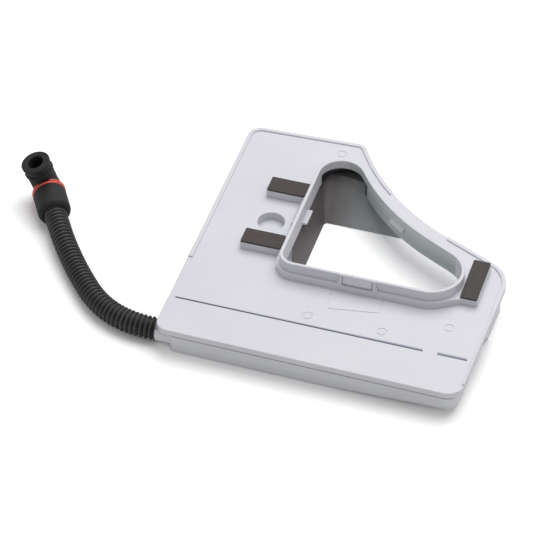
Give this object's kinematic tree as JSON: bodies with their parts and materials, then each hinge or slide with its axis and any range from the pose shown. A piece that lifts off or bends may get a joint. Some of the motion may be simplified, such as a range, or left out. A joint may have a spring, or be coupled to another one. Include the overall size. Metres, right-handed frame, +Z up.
{
  "type": "washing machine bleach dispenser",
  "caption": "Flat bleach dispenser plate with a collared three-sided opening, a trough and foot underneath, a dark chute, stuck-on strips and a short corrugated hose with an elbow.",
  "frame": {"origin": "on the ground, in the middle of the plate and its spigot, without the hose", "axes": "+X along the trough edge toward the foot, +Y from the trough edge across the plate, +Z up out of the plate's face"},
  "size_m": [0.3445, 0.2202, 0.0361],
  "materials": {
    "plate": "light grey moulded plastic, fine matt",
    "shell": "light grey moulded plastic, fine matt",
    "chute": "dark grey moulded plastic, satin",
    "strip": "dark brown flexible strip, fine lines",
    "hose": "black corrugated plastic, satin",
    "elbow": "black rubber, matt",
    "seal": "red rubber, satin"
  },
  "bodies": {
    "root": {"back_plate": "plate", "lower_shell": "shell", "inner_chute": "chute", "magnet_strip_far": "strip", "magnet_strip_near": "strip", "magnet_strip_right": "strip", "drain_hose": "hose", "hose_elbow": "elbow", "red_seal_ring": "seal"}
  },
  "joints": []
}
